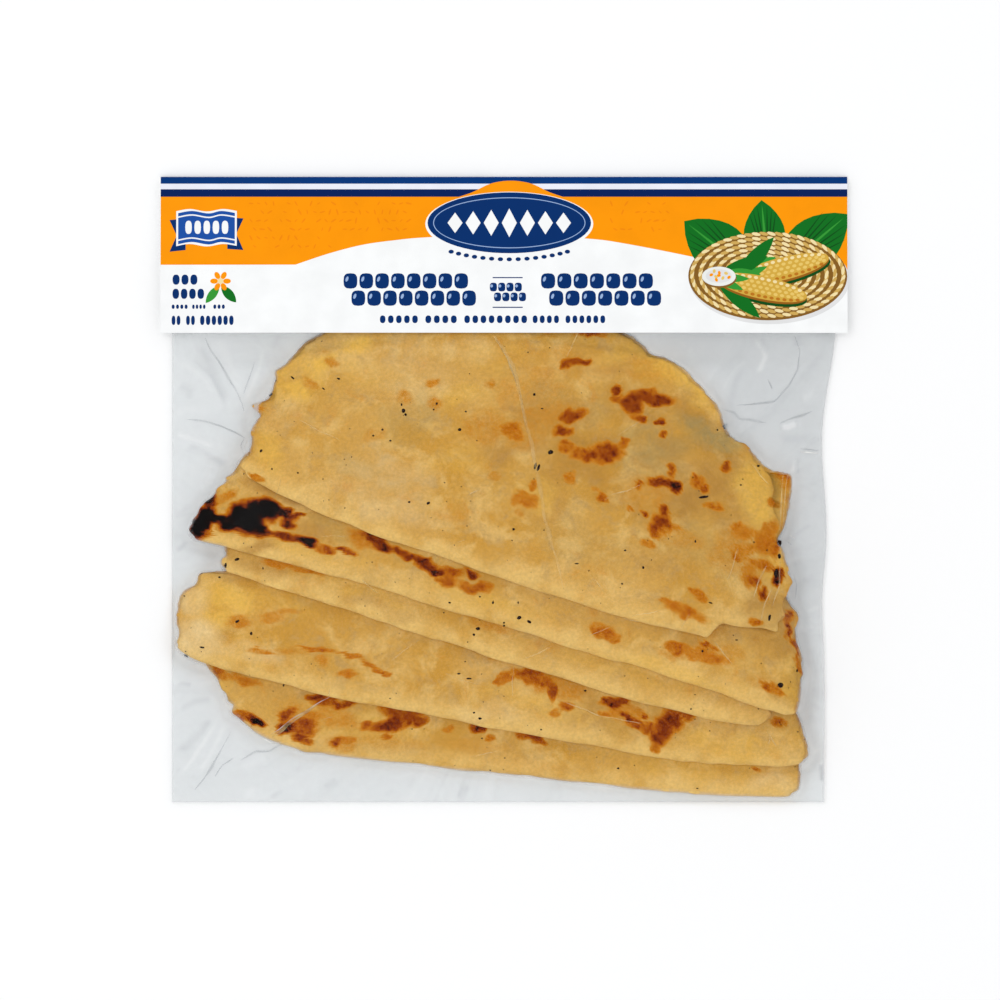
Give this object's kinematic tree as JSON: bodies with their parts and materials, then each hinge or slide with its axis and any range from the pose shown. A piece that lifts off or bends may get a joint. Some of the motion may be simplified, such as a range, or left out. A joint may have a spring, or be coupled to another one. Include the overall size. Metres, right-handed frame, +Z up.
{
  "type": "vacuum pack of folded corn flatbreads",
  "caption": "Clear flat vacuum pouch of folded, browned sweet-corn flatbreads with cheese, fanned in a pile, under a printed card folded over the pouch's top.",
  "frame": {"origin": "middle of the pack's box, on the flat surface that its back lies on", "axes": "+Z up out of the shown side, +Y towards the header card, +X to the right of the shown side"},
  "size_m": [0.247, 0.225, 0.028],
  "materials": {
    "film": "clear glossy vacuum film, drawn tight over golden flatbreads; grey-white and wrinkled where its two layers are welded",
    "card": "satin coated card, printed in navy, orange, green and gold fields of colour",
    "flatbread": "moist baked corn dough, golden yellow with orange, brown and black griddle marks"
  },
  "bodies": {
    "root": {"pouch": "film", "header_card": "card"}
  },
  "joints": []
}
